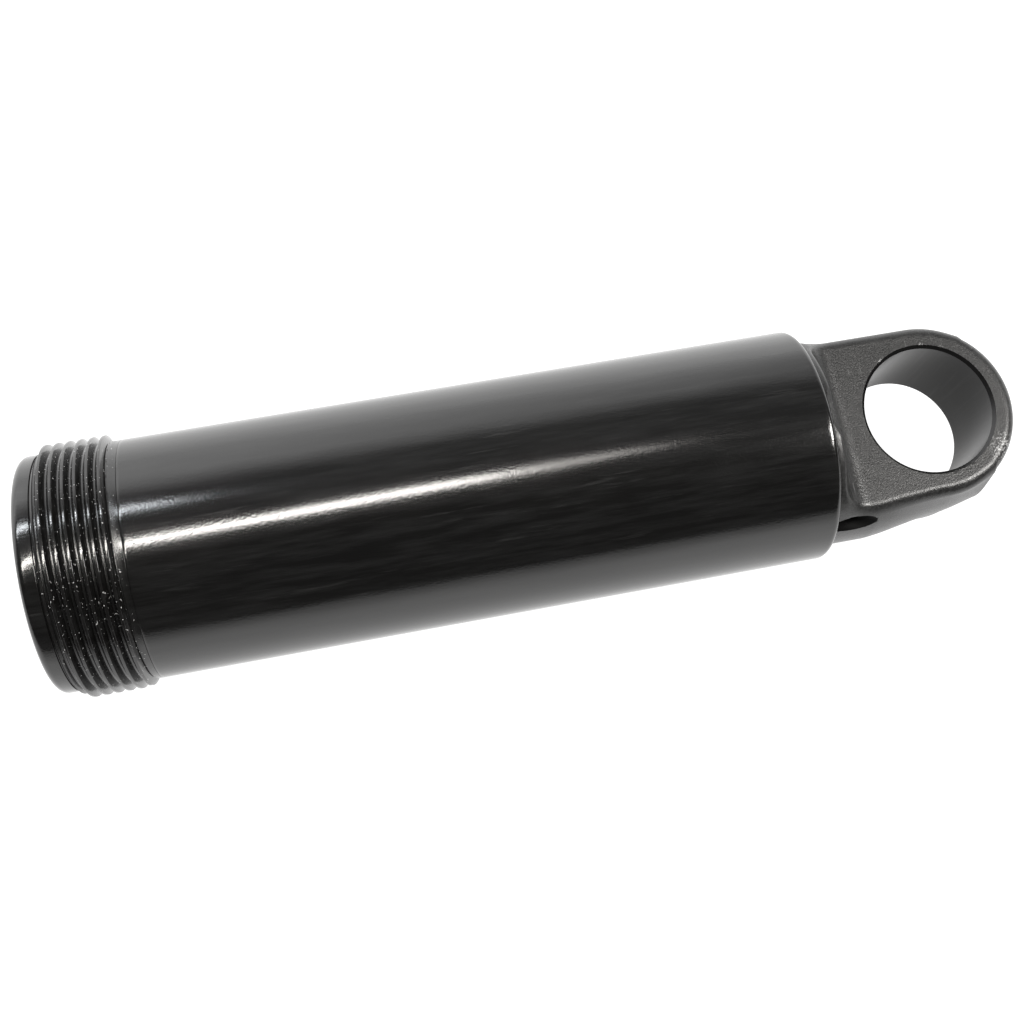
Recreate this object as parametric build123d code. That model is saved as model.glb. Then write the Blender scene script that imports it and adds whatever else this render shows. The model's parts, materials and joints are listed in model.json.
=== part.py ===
"""Rod case of a small gas-charged telescopic damper: a threaded aluminium tube with an eyelet end.

The case is the closed end of the damper.  The damper rod and its seal head screw on over the outside
thread at the open end; they belong to the mating assembly.  Inside the case a floating piston parts
the oil from the gas chamber, which is filled through a slanting port in the eyelet's neck.

Frame: the origin is the centre of the eyelet's bore, +X points out through the eyelet's crown, the
tube runs towards -X, and +Z is the axis of the eyelet's bore.  All dimensions are in millimetres.
"""
from build123d import *
import math
import os

# ---------------------------------------------------------------- driving dimensions
# Eyelet
EYE_BORE_R = 7.54            # standard 15.08 mm eyelet bore
EYE_CHAMFER = 0.35
EYE_WIDTH = 12.7             # across the two milled faces
EYE_R = 10.3                 # outside of the ring, and half the width of the arm
EYE_EDGE_R = 1.2             # rounding round both faces
NECK_R = 12.35
FACE_SHOULDER_X = -12.9      # the full round neck ends here on both faces
FACE_FILLET_R = 3.3          # left by the cutter that milled the faces
FLANK_SHOULDER_X = -13.3     # the same on the flank away from the port
FLANK_FILLET_R = 1.0
BOSS_CONE_X = -8.7           # the port boss starts to taper here
BOSS_TAPER = 0.185           # loss of radius for each millimetre towards the crown

# Case tube
TUBE_R = 13.58
TUBE_BORE_R = 11.75
TUBE_RIM_X = -13.95          # end of the tube at the eyelet
TUBE_RIM_ROUND = 0.75
OPEN_END_X = -102.3
OPEN_LEAD_IN = 0.25          # chamfer inside the mouth
LIP_R = 13.4                 # pilot lip ahead of the thread
LIP_ROUND = 0.9
LIP_END_X = -100.33
LIP_RELIEF_R = 13.2          # narrow groove between the lip and the thread

# Outside thread, about 1 1/8 inch, 20 to the inch, right-hand
THREAD_PITCH = 25.4 / 20
THREAD_MAJOR_R = 14.35
THREAD_MINOR_R = 13.40
THREAD_CREST = 0.28
THREAD_FLANK = 0.36
THREAD_START_X = -100.15
THREAD_LEAD_IN = 0.7         # length of the chamfer on the first turn
THREAD_FIRST_CREST_X = -101.63   # a crest on the +Z side; its start is turned away with the chamfer
THREAD_TURNS = 7.5
THREAD_ROOT_DEPTH = 0.35     # how far the ridge is rooted in the wall
THREAD_RUN_OUT_X = -92.9     # the last turn is faded only beyond this plane
RUN_OUT_LIFT = 0.95          # offset of the circle along which the last turn fades
THREAD_END_X = -91.2         # the band at the thread's root steps up to the tube here

# Joint between tube and eyelet
SOCKET_R = 12.42             # plain counterbore that takes the neck
SOCKET_DEPTH = 2.0
JOINT_THREAD_R = 12.1        # both threads are drawn plain, at this radius
JOINT_THREAD_END_X = -21.5
SPIGOT_R = 11.70
SPIGOT_END_X = -27.6
SPIGOT_LEAD_IN = 0.5
GAS_RECESS_R = 7.5
GAS_RECESS_X = -20.0
FIT_GAP = 0.02

# Seal on the spigot
SPIGOT_GROOVE_X = -25.9      # end of the groove nearest to the gas
SPIGOT_GROOVE_WIDTH = 3.4
SPIGOT_GROOVE_R = 9.75
BACKUP_RING_WIDTH = 1.2

# Gas port, drilled at a slant through the boss into the gas recess
PORT_X = -11.2
PORT_ANGLE = -69.0           # about +X, from +Z towards +Y
PORT_SLANT = 28.0            # between the drilling and the tube's axis
PORT_R = 1.3
PORT_SEAT_R = 0.6
PORT_SCREW_FROM = 4.0        # depths along the port
PORT_SCREW_LENGTH = 3.4
PORT_SCREW_HEX = 1.3         # across flats
PELLET_LENGTH = 2.0
PORT_END = 12.5

# Floating piston
PISTON_R = 11.70
PISTON_LENGTH = 13.0
PISTON_FACE_X = -38.0        # gas side of the piston, as charged
PISTON_SEAL_WIDTH = 3.2
PISTON_SEAL_GROOVE_R = 9.65
PISTON_BAND_WIDTH = 2.4
PISTON_BAND_GROOVE_R = 10.9
PISTON_LAND = 0.9
PISTON_CUP_R = 8.2
PISTON_CUP_DEPTH = 8.0
SLIDING_R = TUBE_BORE_R - 0.02
BAND_SPLIT = 0.6

# Bleed screw in the floating piston
BLEED_HOLE_R = 2.0
BLEED_HEAD_R = 3.4
BLEED_HEAD_HEIGHT = 2.0
BLEED_POCKET_R = 3.9
BLEED_POCKET_DEPTH = 2.6
BLEED_SHANK_LENGTH = 3.2
BLEED_SEAT_R = 3.15          # counterbore for the ring under the head
BLEED_HEX = 2.5              # across flats
BLEED_RING_SECTION_R = 0.55


# ---------------------------------------------------------------- helpers
def bar(x_from, x_to, radius):
    """Round bar along X."""
    middle = (x_from + x_to) / 2
    return Pos(middle, 0, 0) * Rot(0, 90, 0) * Cylinder(radius, abs(x_to - x_from))


def turned(*points):
    """Solid turned about X from an outline of (x, radius) points."""
    outline = make_face(Polyline(*points, close=True))
    return revolve(outline, Axis.X)


def band(x_from, width, inner_r, outer_r):
    """Plain ring along X."""
    x_to = x_from + width
    return turned((x_from, inner_r), (x_to, inner_r), (x_to, outer_r), (x_from, outer_r))


def soft_ring(x_from, width, inner_r, outer_r):
    """O-ring as it sits squeezed in its groove: a ring with well rounded corners."""
    x_to = x_from + width
    outline = Polyline((x_from, inner_r), (x_to, inner_r), (x_to, outer_r), (x_from, outer_r), close=True)
    corner = 0.42 * min(width, outer_r - inner_r)
    face = make_face(outline)
    face = fillet(face.vertices(), corner)
    return revolve(face, Axis.X)


def hex_socket(across_flats, depth):
    """Hexagonal pocket cutter, from the origin down -Z."""
    hexagon = RegularPolygon(across_flats / math.sqrt(3), 6)
    return Pos(0, 0, -depth) * extrude(hexagon, depth + 1)


def port_frame(depth):
    """Location on the port's axis at a depth below the neck; its local +Z points out of the mouth."""
    angle = math.radians(PORT_ANGLE)
    slant = math.radians(PORT_SLANT)
    outward = Vector(0, math.sin(angle), math.cos(angle))
    axis = Vector(math.cos(slant), 0, 0) + outward * math.sin(slant)
    mouth = Vector(PORT_X, 0, 0) + outward * NECK_R
    return Location(Plane(origin=mouth - axis * depth, z_dir=axis))


def port_bar(depth_from, depth_to, radius):
    """Round bar on the port's axis between two depths."""
    middle = (depth_from + depth_to) / 2
    return port_frame(middle) * Cylinder(radius, depth_to - depth_from)


# ---------------------------------------------------------------- case tube
def thread_ridge():
    """Right-hand helical ridge, chamfered where it starts and faded out where the tool left it."""
    foot_r = THREAD_MINOR_R - THREAD_ROOT_DEPTH
    slope = THREAD_FLANK / (THREAD_MAJOR_R - THREAD_MINOR_R)
    half_crest = THREAD_CREST / 2
    half_foot = half_crest + THREAD_FLANK + THREAD_ROOT_DEPTH * slope
    crest_height = THREAD_MAJOR_R - foot_r
    path = Helix(
        pitch=THREAD_PITCH,
        height=THREAD_TURNS * THREAD_PITCH,
        radius=foot_r,
        center=(THREAD_FIRST_CREST_X, 0, 0),
        direction=(1, 0, 0),
    )
    start = path @ 0
    outward = Vector(0, start.Y, start.Z).normalized()
    section_plane = Plane(origin=start, x_dir=(1, 0, 0), z_dir=Vector(1, 0, 0).cross(outward))
    section = section_plane * make_face(
        Polyline(
            (-half_foot, 0),
            (half_foot, 0),
            (half_crest, crest_height),
            (-half_crest, crest_height),
            close=True,
        )
    )
    ridge = sweep(section, path=path, is_frenet=True)
    start_angle = math.degrees(math.atan2(start.Y, start.Z))
    ridge = Rot(start_angle, 0, 0) * ridge

    blank_end_x = THREAD_START_X + (THREAD_TURNS + 1) * THREAD_PITCH
    blank = turned(
        (THREAD_START_X, TUBE_BORE_R),
        (THREAD_START_X, THREAD_MINOR_R),
        (THREAD_START_X + THREAD_LEAD_IN, THREAD_MAJOR_R + FIT_GAP),
        (blank_end_x, THREAD_MAJOR_R + FIT_GAP),
        (blank_end_x, TUBE_BORE_R),
    )
    return (ridge & blank) - run_out_cutter()


def run_out_cutter():
    """Takes the last half turn down along an off-centre circle, as a withdrawing tool does."""
    reach = 2 * THREAD_MAJOR_R
    x_from = THREAD_RUN_OUT_X
    corner = Pos(x_from + reach / 2, -reach / 2, -reach / 2) * Box(reach, reach, reach)
    circle = Pos(0, 0, RUN_OUT_LIFT) * bar(x_from - 1, x_from + reach + 1, THREAD_MAJOR_R + FIT_GAP)
    return corner - circle


def case_tube():
    lip_edge_x = OPEN_END_X + LIP_ROUND
    rim_edge_x = TUBE_RIM_X - TUBE_RIM_ROUND
    socket_x = TUBE_RIM_X - SOCKET_DEPTH
    mouth_r = TUBE_BORE_R + OPEN_LEAD_IN
    outline = (
        Line((OPEN_END_X, mouth_r), (OPEN_END_X, LIP_R - LIP_ROUND))
        + RadiusArc((OPEN_END_X, LIP_R - LIP_ROUND), (lip_edge_x, LIP_R), LIP_ROUND)
        + Polyline(
            (lip_edge_x, LIP_R),
            (LIP_END_X, LIP_R),
            (LIP_END_X, LIP_RELIEF_R),
            (THREAD_START_X, LIP_RELIEF_R),
            (THREAD_START_X, THREAD_MINOR_R),
            (THREAD_END_X, THREAD_MINOR_R),
            (THREAD_END_X, TUBE_R),
            (rim_edge_x, TUBE_R),
        )
        + RadiusArc((rim_edge_x, TUBE_R), (TUBE_RIM_X, TUBE_R - TUBE_RIM_ROUND), TUBE_RIM_ROUND)
        + Polyline(
            (TUBE_RIM_X, TUBE_R - TUBE_RIM_ROUND),
            (TUBE_RIM_X, SOCKET_R),
            (socket_x, SOCKET_R),
            (socket_x, JOINT_THREAD_R),
            (JOINT_THREAD_END_X, JOINT_THREAD_R),
            (JOINT_THREAD_END_X, TUBE_BORE_R),
            (OPEN_END_X + OPEN_LEAD_IN, TUBE_BORE_R),
            (OPEN_END_X, mouth_r),
        )
    )
    tube = revolve(make_face(outline), Axis.X)
    return tube + thread_ridge()


# ---------------------------------------------------------------- eyelet end
def milled_outline(half_width, shoulder_x, fillet_r):
    """Outline, against X, left by a round-nosed cutter that mills both sides of the neck."""
    far = 2 * NECK_R
    flat_x = shoulder_x + fillet_r
    lift = half_width + fillet_r
    side = (
        Line((SPIGOT_END_X - 1, far), (shoulder_x, far))
        + Line((shoulder_x, far), (shoulder_x, lift))
        + RadiusArc((shoulder_x, lift), (flat_x, half_width), -fillet_r)
        + Line((flat_x, half_width), (EYE_R + 1, half_width))
    )
    ends = Line((EYE_R + 1, half_width), (EYE_R + 1, -half_width)) + Line(
        (SPIGOT_END_X - 1, -far), (SPIGOT_END_X - 1, far)
    )
    return make_face(side + mirror(side, Plane.XZ) + ends)


def turned_blank():
    """Spigot, neck and the taper that is left standing as the port boss."""
    groove_end_x = SPIGOT_GROOVE_X + SPIGOT_GROOVE_WIDTH
    thread_end_x = JOINT_THREAD_END_X + FIT_GAP
    seat_x = TUBE_RIM_X - SOCKET_DEPTH + FIT_GAP
    taper_end_x = BOSS_CONE_X + (NECK_R - EYE_R) / BOSS_TAPER
    return turned(
        (SPIGOT_END_X, 0),
        (SPIGOT_END_X, SPIGOT_R - SPIGOT_LEAD_IN),
        (SPIGOT_END_X + SPIGOT_LEAD_IN, SPIGOT_R),
        (SPIGOT_GROOVE_X, SPIGOT_R),
        (SPIGOT_GROOVE_X, SPIGOT_GROOVE_R),
        (groove_end_x, SPIGOT_GROOVE_R),
        (groove_end_x, SPIGOT_R),
        (thread_end_x, SPIGOT_R),
        (thread_end_x, JOINT_THREAD_R),
        (seat_x, JOINT_THREAD_R),
        (seat_x, NECK_R),
        (BOSS_CONE_X, NECK_R),
        (taper_end_x, EYE_R),
        (taper_end_x, 0),
    )


def eye_plate():
    """Flat arm and ring, rounded along both faces."""
    arm_end_x = FLANK_SHOULDER_X
    arm = Pos(arm_end_x / 2, 0, 0) * Box(-arm_end_x, 2 * EYE_R, EYE_WIDTH)
    plate = arm + Cylinder(EYE_R, EYE_WIDTH)
    outline = [edge for edge in plate.edges() if abs(abs(edge.center().Z) - EYE_WIDTH / 2) < 0.01]
    outline = [edge for edge in outline if edge.center().X > arm_end_x + 0.1]
    return fillet(outline, EYE_EDGE_R)


def eyelet_end():
    half_width = EYE_WIDTH / 2
    reach = 4 * NECK_R
    faces = milled_outline(half_width, FACE_SHOULDER_X, FACE_FILLET_R)
    flanks = milled_outline(EYE_R - EYE_EDGE_R, FLANK_SHOULDER_X, FLANK_FILLET_R)
    across_y = Rot(90, 0, 0) * extrude(faces, reach / 2, both=True)
    boss_side = Pos(0, -reach / 2, 0) * Box(reach * 2, reach, reach)
    across_z = extrude(flanks, reach / 2, both=True)
    neck = turned_blank() & across_y & (across_z + boss_side)
    body = neck + eye_plate()

    bore = Cylinder(EYE_BORE_R, EYE_WIDTH + 1)
    top_chamfer = Pos(0, 0, half_width - EYE_CHAMFER / 2) * Cone(
        EYE_BORE_R, EYE_BORE_R + EYE_CHAMFER, EYE_CHAMFER
    )
    bottom_chamfer = mirror(top_chamfer, Plane.XY)
    gas_recess = bar(SPIGOT_END_X - 1, GAS_RECESS_X, GAS_RECESS_R)
    seat_depth = PORT_SCREW_FROM + PORT_SCREW_LENGTH + PELLET_LENGTH
    port = port_bar(-3 * PORT_SCREW_FROM, seat_depth, PORT_R) + port_bar(seat_depth - 0.1, PORT_END, PORT_SEAT_R)
    return body - bore - top_chamfer - bottom_chamfer - gas_recess - port


# ---------------------------------------------------------------- seals on the eyelet end
def spigot_seal_width():
    return SPIGOT_GROOVE_WIDTH - BACKUP_RING_WIDTH - 3 * FIT_GAP


def spigot_o_ring():
    x_from = SPIGOT_GROOVE_X + FIT_GAP
    return soft_ring(x_from, spigot_seal_width(), SPIGOT_GROOVE_R + FIT_GAP, SLIDING_R)


def spigot_backup_ring():
    x_from = SPIGOT_GROOVE_X + SPIGOT_GROOVE_WIDTH - BACKUP_RING_WIDTH - FIT_GAP
    return band(x_from, BACKUP_RING_WIDTH, SPIGOT_GROOVE_R + FIT_GAP, SLIDING_R)


# ---------------------------------------------------------------- gas port
def port_screw():
    end = PORT_SCREW_FROM + PORT_SCREW_LENGTH
    body = port_bar(PORT_SCREW_FROM, end - FIT_GAP, PORT_R - FIT_GAP / 2)
    socket = port_frame(PORT_SCREW_FROM) * hex_socket(PORT_SCREW_HEX, PORT_SCREW_LENGTH / 2)
    return body - socket


def port_pellet():
    start = PORT_SCREW_FROM + PORT_SCREW_LENGTH
    return port_bar(start, start + PELLET_LENGTH - FIT_GAP, PORT_R - FIT_GAP / 2)


# ---------------------------------------------------------------- floating piston
def piston_stations():
    """Where the front band, seal and rear band grooves start, from the oil face towards the gas."""
    middle_land = (PISTON_LENGTH - 2 * PISTON_LAND - 2 * PISTON_BAND_WIDTH - PISTON_SEAL_WIDTH) / 2
    oil_face_x = PISTON_FACE_X - PISTON_LENGTH
    front_band_x = oil_face_x + PISTON_LAND
    seal_x = front_band_x + PISTON_BAND_WIDTH + middle_land
    rear_band_x = seal_x + PISTON_SEAL_WIDTH + middle_land
    return front_band_x, seal_x, rear_band_x


def floating_piston():
    oil_face_x = PISTON_FACE_X - PISTON_LENGTH
    front_band_x, seal_x, rear_band_x = piston_stations()
    piston = bar(oil_face_x, PISTON_FACE_X, PISTON_R)
    for x_from in (front_band_x, rear_band_x):
        piston -= band(x_from, PISTON_BAND_WIDTH, PISTON_BAND_GROOVE_R, PISTON_R + 1)
    piston -= band(seal_x, PISTON_SEAL_WIDTH, PISTON_SEAL_GROOVE_R, PISTON_R + 1)
    piston -= bar(PISTON_FACE_X - PISTON_CUP_DEPTH, PISTON_FACE_X + 1, PISTON_CUP_R)
    piston -= bar(oil_face_x - 1, PISTON_FACE_X, BLEED_HOLE_R)
    piston -= bar(oil_face_x - 1, oil_face_x + BLEED_POCKET_DEPTH, BLEED_POCKET_R)
    seat_x = oil_face_x + BLEED_POCKET_DEPTH
    piston -= bar(seat_x - 1, seat_x + 2 * BLEED_RING_SECTION_R, BLEED_SEAT_R)
    return piston


def piston_o_ring():
    _, seal_x, _ = piston_stations()
    width = PISTON_SEAL_WIDTH - 2 * FIT_GAP
    return soft_ring(seal_x + FIT_GAP, width, PISTON_SEAL_GROOVE_R + FIT_GAP, SLIDING_R)


def wear_band(x_from):
    """Split guide band in its shallow groove."""
    width = PISTON_BAND_WIDTH - 2 * FIT_GAP
    ring = band(x_from + FIT_GAP, width, PISTON_BAND_GROOVE_R + FIT_GAP, SLIDING_R)
    split = Pos(x_from + width / 2, 0, TUBE_BORE_R) * Box(2 * width, BAND_SPLIT, TUBE_BORE_R)
    return ring - split


def bleed_screw():
    head_x = PISTON_FACE_X - PISTON_LENGTH + BLEED_POCKET_DEPTH
    outer_x = head_x - BLEED_HEAD_HEIGHT
    screw = bar(outer_x, head_x, BLEED_HEAD_R)
    screw += bar(head_x - 0.1, head_x + BLEED_SHANK_LENGTH, BLEED_HOLE_R - FIT_GAP / 2)
    socket = Pos(outer_x, 0, 0) * Rot(0, -90, 0) * hex_socket(BLEED_HEX, BLEED_HEAD_HEIGHT * 0.6)
    return screw - socket


def bleed_o_ring():
    seat_x = PISTON_FACE_X - PISTON_LENGTH + BLEED_POCKET_DEPTH
    width = 2 * BLEED_RING_SECTION_R - 2 * FIT_GAP
    return soft_ring(seat_x + FIT_GAP, width, BLEED_HOLE_R + FIT_GAP, BLEED_SEAT_R - FIT_GAP)


# ---------------------------------------------------------------- the assembly
def build():
    front_band_x, _, rear_band_x = piston_stations()
    return {
        "case_tube": case_tube(),
        "eyelet_end": eyelet_end(),
        "spigot_o_ring": spigot_o_ring(),
        "spigot_backup_ring": spigot_backup_ring(),
        "port_screw": port_screw(),
        "port_pellet": port_pellet(),
        "floating_piston": floating_piston(),
        "piston_o_ring": piston_o_ring(),
        "oil_side_wear_band": wear_band(front_band_x),
        "gas_side_wear_band": wear_band(rear_band_x),
        "bleed_screw": bleed_screw(),
        "bleed_o_ring": bleed_o_ring(),
    }


os.makedirs("parts", exist_ok=True)
for node, shape in build().items():
    export_step(shape, f"parts/{node}.step")
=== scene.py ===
"""Looks of a damper's rod case: a gloss black threaded tube with a matt black eyelet end.

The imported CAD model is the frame.  The tube and the eyelet end are shown by finer meshes built here,
because their highlights need true thread flanks, run-outs and rounded edges.  The seals, the floating
piston and its screws are the CAD solids themselves, with their own materials.

Shapes are worked out in millimetres, in the model's own frame, and scaled to metres when a mesh
is made.
"""

import json
import math

import bpy
import numpy as np
from mathutils import Matrix, Vector


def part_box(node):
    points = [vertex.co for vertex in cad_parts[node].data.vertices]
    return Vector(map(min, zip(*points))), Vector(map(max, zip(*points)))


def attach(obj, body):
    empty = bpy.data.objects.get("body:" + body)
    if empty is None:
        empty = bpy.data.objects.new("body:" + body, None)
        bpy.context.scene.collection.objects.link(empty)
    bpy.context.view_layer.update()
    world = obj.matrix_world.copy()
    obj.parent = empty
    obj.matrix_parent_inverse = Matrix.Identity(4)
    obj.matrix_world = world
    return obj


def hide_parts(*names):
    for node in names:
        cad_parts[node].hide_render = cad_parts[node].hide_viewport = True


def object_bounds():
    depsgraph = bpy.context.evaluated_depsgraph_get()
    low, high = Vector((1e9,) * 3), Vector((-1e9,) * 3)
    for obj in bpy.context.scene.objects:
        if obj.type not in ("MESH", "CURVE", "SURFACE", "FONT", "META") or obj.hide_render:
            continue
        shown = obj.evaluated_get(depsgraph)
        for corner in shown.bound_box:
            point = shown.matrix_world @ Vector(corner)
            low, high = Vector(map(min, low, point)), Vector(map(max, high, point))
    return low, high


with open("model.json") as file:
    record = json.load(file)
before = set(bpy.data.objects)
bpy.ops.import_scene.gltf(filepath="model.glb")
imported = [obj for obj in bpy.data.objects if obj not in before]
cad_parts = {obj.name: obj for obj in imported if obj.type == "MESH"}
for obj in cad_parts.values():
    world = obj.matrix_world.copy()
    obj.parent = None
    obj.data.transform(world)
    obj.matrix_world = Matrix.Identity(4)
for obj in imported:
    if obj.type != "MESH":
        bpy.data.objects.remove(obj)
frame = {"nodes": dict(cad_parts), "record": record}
cad_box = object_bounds()

MM = 0.001
MICRON = 0.000001
MOUNTS = {mount["name"]: mount["dims"] for mount in frame["record"]["mounts"]}


def extent_x(node):
    """Lowest and highest X of a CAD node, in millimetres."""
    low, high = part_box(node)
    return low.x / MM, high.x / MM


# ---------------------------------------------------------------- sizes
OPEN_END_X, RIM_X = extent_x("case_tube")
SPIGOT_END_X, CROWN_X = extent_x("eyelet_end")

TUBE_R = MOUNTS["tube_outside"]["r_mm"]
TUBE_BORE_R = MOUNTS["case_bore"]["r_mm"]
RIM_ROUND = 0.75
LEAD_IN = 0.25
LIP_R = 13.4
LIP_ROUND = 0.9
LIP_END_X = OPEN_END_X + 1.97
RELIEF_R = 13.2                 # narrow groove between the lip and the thread
RELIEF_WALL = 0.03
EDGE_BREAK = 0.06               # rounding of turned edges
FINE_BREAK = 0.03
JOINT_R = 12.1
JOINT_END_X = -21.5
SOCKET_R = 12.42
SOCKET_DEPTH = 2.0

THREAD_PITCH = 25.4 / 20
THREAD_MAJOR_R = MOUNTS["outside_thread"]["r_mm"]
THREAD_MINOR_R = 13.4
THREAD_CREST = 0.28
THREAD_FLANK = 0.36
THREAD_CREST_ROUND = 0.06
THREAD_ROOT_ROUND = 0.12
THREAD_START_X = OPEN_END_X + 2.15
THREAD_LEAD_IN = 0.7
THREAD_FIRST_CREST_X = OPEN_END_X + 0.67
THREAD_TURNS = 7.5
THREAD_FADE_TURN = 7.25         # from here the tool withdraws along an off-centre circle
RUN_OUT_LIFT = 0.95
THREAD_ZONE_END_X = OPEN_END_X + 11.0
BAND_R = TUBE_R - 0.02          # band turned a shade smaller, up to a fine line on the tube
LINE_X = THREAD_ZONE_END_X + 0.05
LINE_STEPS = (0.0, 0.03, 0.08, 0.11)
LINE_DEPTH = 0.03
LONG_RINGS = 16                 # rings along the plain tube

EYE_BORE_R = MOUNTS["eyelet_bore"]["r_mm"]
EYE_CHAMFER = 0.35
EYE_HALF_WIDTH = MOUNTS["eyelet_bore"]["length_mm"] / 2 + EYE_CHAMFER
EYE_R = CROWN_X
EYE_EDGE_R = 1.3
NECK_R = 12.35
NECK_EDGE_R = 0.5
FACE_SHOULDER_X = -12.9
FACE_FILLET_R = 3.3
FLANK_SHOULDER_X = -13.3
FLANK_FILLET_R = 1.2
BOSS_CONE_X = -8.7
BOSS_TAPER = 0.185
BOSS_BLEND_R = 0.9
BOSS_OVERLAP = 0.6              # the boss runs this far into the arm before it stops
CLEARANCE = 0.02                # between the eyelet's shoulders and the tube's
OVERLAP = 0.5                   # of one turned bar in the next
SEAT_X = RIM_X - SOCKET_DEPTH + CLEARANCE
SPIGOT_R = 11.7
GROOVE_R = 9.75
GROOVE_X = (-25.9, -22.5)
GAS_RECESS_R = 7.5
GAS_RECESS_X = -20.0

WORN_SPOT = (7.5 * MM, -6.0 * MM, 6.0 * MM)     # on the ring, rubbed bare
CUT_GLOSS_X = -8.4              # the chamfers beyond this are glossy, the port before it is dull

PORT_X = -11.2
PORT_ANGLE = math.radians(-69.0)
PORT_SLANT = math.radians(28.0)
PORT_R = 1.3
PORT_SEAT_R = 0.6
PORT_SEAT_DEPTH = 9.4
PORT_END = 12.5

COLUMNS = 360                   # mesh columns round the tube
NET_STEP = 0.23                 # cell of the eyelet's mesh
NET_MARGIN = 2.3 * NET_STEP     # room round it
FLAT_LIMIT = 0.08               # share of the main slope below which a cell counts as flat
CELL_SLACK = 0.1                # how far a point may leave its cell, in cells
TUBE_SHARP_ANGLE = 40           # edges over this many degrees stay sharp
EYELET_SHARP_ANGLE = 34
FACE_NEAR = 0.03                # a face this near to a cut surface belongs to it
FACE_INSET = 0.02
FACE_DEPTH = 0.01


# ---------------------------------------------------------------- mesh helpers
def make_object(name, points, faces, sharp_angle, materials, face_materials=None):
    """Mesh object from points in millimetres, smooth but for edges over an angle."""
    mesh = bpy.data.meshes.new(name)
    mesh.from_pydata((points * MM).tolist(), [], faces)
    for material in materials:
        mesh.materials.append(material)
    if face_materials is not None:
        mesh.polygons.foreach_set("material_index", face_materials.astype(np.int32))
    mesh.shade_smooth()
    mesh.set_sharp_from_angle(angle=math.radians(sharp_angle))
    mesh.update()
    obj = bpy.data.objects.new(name, mesh)
    bpy.context.scene.collection.objects.link(obj)
    return obj


def rounded_path(corners, radii, steps=5):
    """Polyline in a plane with each inner corner rounded to a radius."""
    path = [np.array(corners[0], float)]
    for before, corner, after, radius in zip(corners, corners[1:], corners[2:], radii):
        corner = np.array(corner, float)
        to_before = np.array(before, float) - corner
        to_after = np.array(after, float) - corner
        to_before /= np.linalg.norm(to_before)
        to_after /= np.linalg.norm(to_after)
        half = math.acos(float(np.clip(to_before @ to_after, -1, 1))) / 2
        if radius == 0 or half > math.radians(89.9):
            path.append(corner)
            continue
        tangent = radius / math.tan(half)
        middle = to_before + to_after
        centre = corner + middle / np.linalg.norm(middle) * radius / math.sin(half)
        first = corner + to_before * tangent - centre
        last = corner + to_after * tangent - centre
        turn = math.atan2(first[0] * last[1] - first[1] * last[0], first @ last)
        for step in range(steps + 1):
            angle = turn * step / steps
            cos, sin = math.cos(angle), math.sin(angle)
            spoke = [first[0] * cos - first[1] * sin, first[0] * sin + first[1] * cos]
            path.append(centre + np.array(spoke))
    path.append(np.array(corners[-1], float))
    return np.array(path)


# ---------------------------------------------------------------- case tube
def thread_profile():
    """Offsets from a crest's centre over one pitch, and the radius at each."""
    half_crest = THREAD_CREST / 2
    half_foot = half_crest + THREAD_FLANK
    half_pitch = THREAD_PITCH / 2
    corners = [
        (-half_pitch, THREAD_MINOR_R),
        (-half_foot, THREAD_MINOR_R),
        (-half_crest, THREAD_MAJOR_R),
        (half_crest, THREAD_MAJOR_R),
        (half_foot, THREAD_MINOR_R),
        (half_pitch, THREAD_MINOR_R),
    ]
    radii = [THREAD_ROOT_ROUND, THREAD_CREST_ROUND, THREAD_CREST_ROUND, THREAD_ROOT_ROUND]
    path = rounded_path(corners, radii, steps=4)
    return path[:, 0], path[:, 1]


def thread_radius(x, turn_share, profile):
    """Radius of the threaded surface at x, a share of a turn past +Z against the helix's start."""
    offsets, radii = profile
    turns = (x - THREAD_FIRST_CREST_X) / THREAD_PITCH - turn_share
    nearest = np.round(turns)
    crest_turn = nearest + turn_share
    radius = np.interp((turns - nearest) * THREAD_PITCH, offsets, radii)
    depth = THREAD_MAJOR_R - THREAD_MINOR_R
    lead_in = THREAD_MINOR_R + (x - THREAD_START_X) * depth / THREAD_LEAD_IN
    radius = np.minimum(radius, np.maximum(lead_in, THREAD_MINOR_R))
    angle = 2 * math.pi * crest_turn
    aside = RUN_OUT_LIFT * np.sin(angle)
    fade = RUN_OUT_LIFT * np.cos(angle) + np.sqrt(THREAD_MAJOR_R**2 - aside**2)
    fade = np.where(crest_turn > THREAD_TURNS, THREAD_MINOR_R, fade)
    faded = np.minimum(radius, np.maximum(fade, THREAD_MINOR_R))
    radius = np.where(crest_turn > THREAD_FADE_TURN, faded, radius)
    root = np.interp(crest_turn, [THREAD_FADE_TURN, THREAD_TURNS], [THREAD_MINOR_R, BAND_R])
    return np.maximum(radius, root)


def thread_grid(zone_start_x, zone_end_x):
    """Rows that run along the helix, as x and radius for every row and column."""
    profile = thread_profile()
    offsets = profile[0][:-1]
    first_turn = math.floor((zone_start_x - THREAD_FIRST_CREST_X) / THREAD_PITCH) - 1
    last_turn = math.ceil((zone_end_x - THREAD_FIRST_CREST_X) / THREAD_PITCH) + 1
    turns = np.arange(first_turn, last_turn + 1)
    rows = (THREAD_FIRST_CREST_X + turns[:, None] * THREAD_PITCH + offsets[None, :]).ravel()
    share = np.arange(COLUMNS) / COLUMNS
    x = rows[:, None] + share[None, :] * THREAD_PITCH
    x = np.clip(x, zone_start_x, zone_end_x)
    radius = thread_radius(x, np.broadcast_to(share, x.shape), profile)
    return x, radius, len(offsets)


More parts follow.
